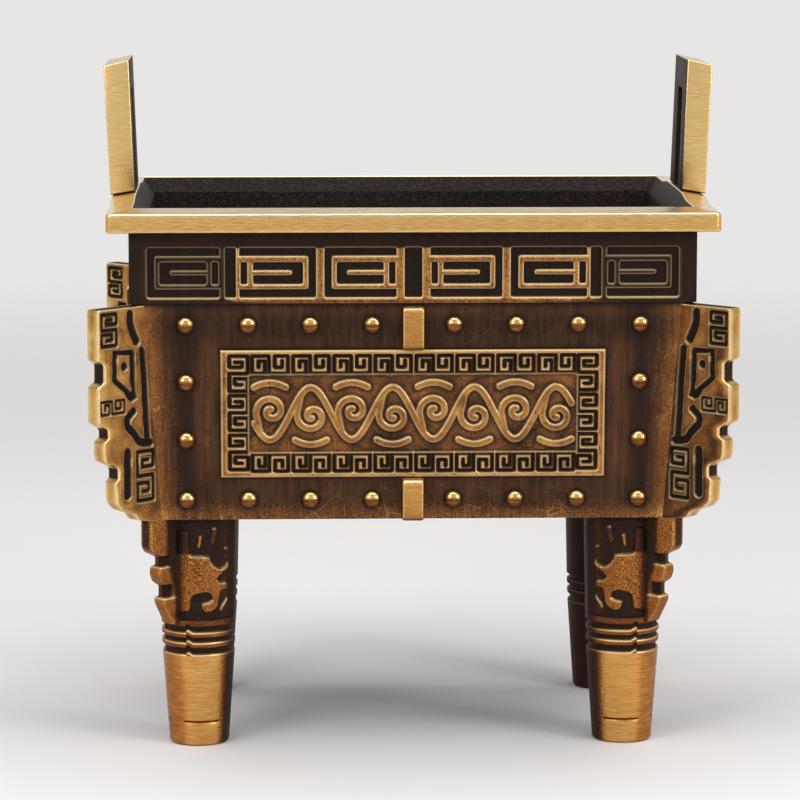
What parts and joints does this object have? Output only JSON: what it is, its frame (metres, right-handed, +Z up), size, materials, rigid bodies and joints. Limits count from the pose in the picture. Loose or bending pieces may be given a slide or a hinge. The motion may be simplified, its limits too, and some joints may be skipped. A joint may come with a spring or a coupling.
{
  "type": "square ding cauldron",
  "caption": "Rectangular ritual cauldron on column legs, with upright loop handles on a flat rim, corner flanges, bossed walls and a framed plaque on each side.",
  "frame": {"origin": "on the ground, midway between the four feet", "axes": "+X along the long side, +Y to the back, +Z up through the open mouth"},
  "size_m": [0.2126, 0.1526, 0.2275],
  "materials": {
    "brushed_brass": "brushed and lacquered brass, with dark patina left in grooves and on the inward faces",
    "dark_bronze": "dark brown patina over cast brass, rubbed back in streaks",
    "golden_bronze": "golden brown patina with bright rubbed edges and black recesses"
  },
  "bodies": {
    "root": {"rim_frame": "brushed_brass", "floor_plate": "dark_bronze", "back_wall": "dark_bronze", "back_plaque": "golden_bronze", "back_upper_lug": "brushed_brass", "back_lower_lug": "brushed_brass", "front_wall": "dark_bronze", "front_plaque": "golden_bronze", "front_upper_lug": "brushed_brass", "front_lower_lug": "brushed_brass", "right_wall": "dark_bronze", "right_plaque": "golden_bronze", "right_upper_lug": "brushed_brass", "right_lower_lug": "brushed_brass", "left_wall": "dark_bronze", "left_plaque": "golden_bronze", "left_upper_lug": "brushed_brass", "left_lower_lug": "brushed_brass", "right_handle": "brushed_brass", "left_handle": "brushed_brass", "back_right_corner_flange": "golden_bronze", "back_right_leg": "brushed_brass", "back_left_corner_flange": "golden_bronze", "back_left_leg": "brushed_brass", "front_left_corner_flange": "golden_bronze", "front_left_leg": "brushed_brass", "front_right_corner_flange": "golden_bronze", "front_right_leg": "brushed_brass"}
  },
  "joints": []
}
